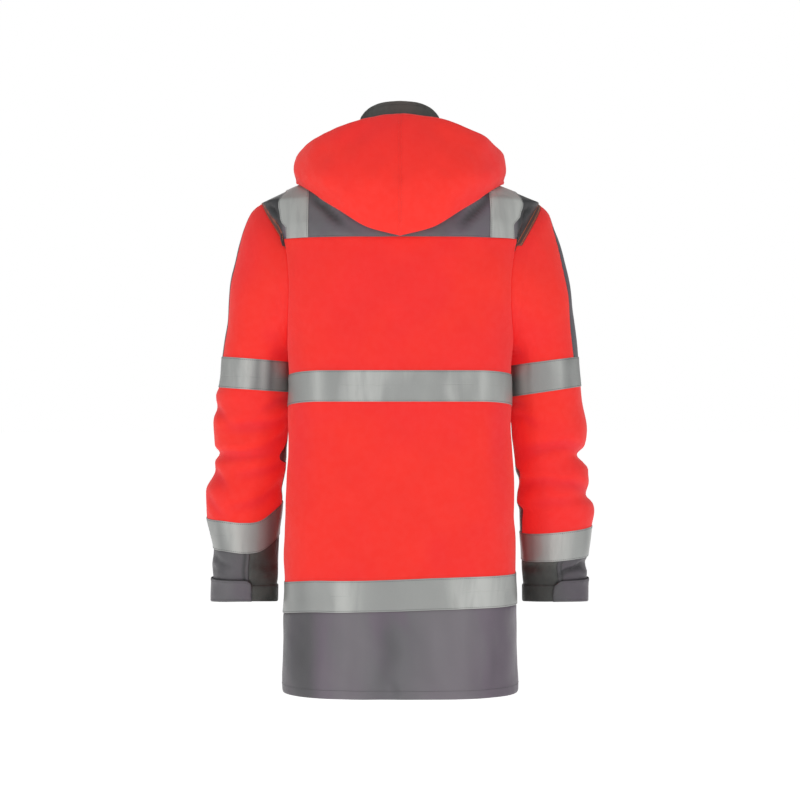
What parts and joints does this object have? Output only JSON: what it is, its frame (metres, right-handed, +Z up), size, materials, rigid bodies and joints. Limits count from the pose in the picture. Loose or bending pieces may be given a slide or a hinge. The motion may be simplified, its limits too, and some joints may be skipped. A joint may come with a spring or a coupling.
{
  "type": "work jacket",
  "caption": "Long hooded high-visibility parka, worn form with no wearer, with reflective tapes, contrast yoke, hem and cuffs, and a zip with a swinging pull tab.",
  "frame": {"origin": "middle of the neck opening, level with the neck points of the shoulder seams", "axes": "+Z up along the garment, the front faces -Y, the wearer's left is +X"},
  "size_m": [0.6525, 0.3153, 0.967],
  "materials": {
    "red_cloth": "matt coated weave, fluorescent",
    "grey_cloth": "matt coated weave",
    "dark_cloth": "matt weave",
    "silver_tape": "satin retroreflective",
    "zip_metal": "satin"
  },
  "bodies": {
    "jacket": {"back": "red_cloth", "yoke_back": "grey_cloth", "hem_back": "grey_cloth", "chest_tape_back": "silver_tape", "hem_tape_back": "silver_tape", "collar": "dark_cloth", "zip_chain": "dark_cloth", "zip_slider": "zip_metal", "front_left": "red_cloth", "yoke_front_left": "grey_cloth", "hem_front_left": "grey_cloth", "chest_tape_front_left": "silver_tape", "hem_tape_front_left": "silver_tape", "shoulder_tape_left": "silver_tape", "hood_left": "red_cloth", "zip_tape_left": "grey_cloth", "sleeve_back_left": "red_cloth", "sleeve_front_upper_left": "red_cloth", "sleeve_front_lower_left": "red_cloth", "sleeve_top_strip_left": "grey_cloth", "sleeve_inner_strip_left": "grey_cloth", "sleeve_tape_upper_left": "silver_tape", "sleeve_tape_lower_left": "silver_tape", "cuff_outer_left": "grey_cloth", "cuff_inner_left": "dark_cloth", "cuff_band_left": "dark_cloth", "cuff_tab_left": "grey_cloth", "front_right": "red_cloth", "yoke_front_right": "grey_cloth", "hem_front_right": "grey_cloth", "chest_tape_front_right": "silver_tape", "hem_tape_front_right": "silver_tape", "shoulder_tape_right": "silver_tape", "hood_right": "red_cloth", "zip_tape_right": "grey_cloth", "sleeve_back_right": "red_cloth", "sleeve_front_upper_right": "red_cloth", "sleeve_front_lower_right": "red_cloth", "sleeve_top_strip_right": "grey_cloth", "sleeve_inner_strip_right": "grey_cloth", "sleeve_tape_upper_right": "silver_tape", "sleeve_tape_lower_right": "silver_tape", "cuff_outer_right": "grey_cloth", "cuff_inner_right": "dark_cloth", "cuff_band_right": "dark_cloth", "cuff_tab_right": "grey_cloth"},
    "pull_tab": {"zip_pull": "zip_metal"}
  },
  "joints": [
    {"name": "pull_tab_swing", "type": "hinge", "parent": "jacket", "child": "pull_tab", "pos_m": [0, -0.0932, 0.019], "axis": [-1, 0, 0], "range_deg": [0, 150]}
  ]
}
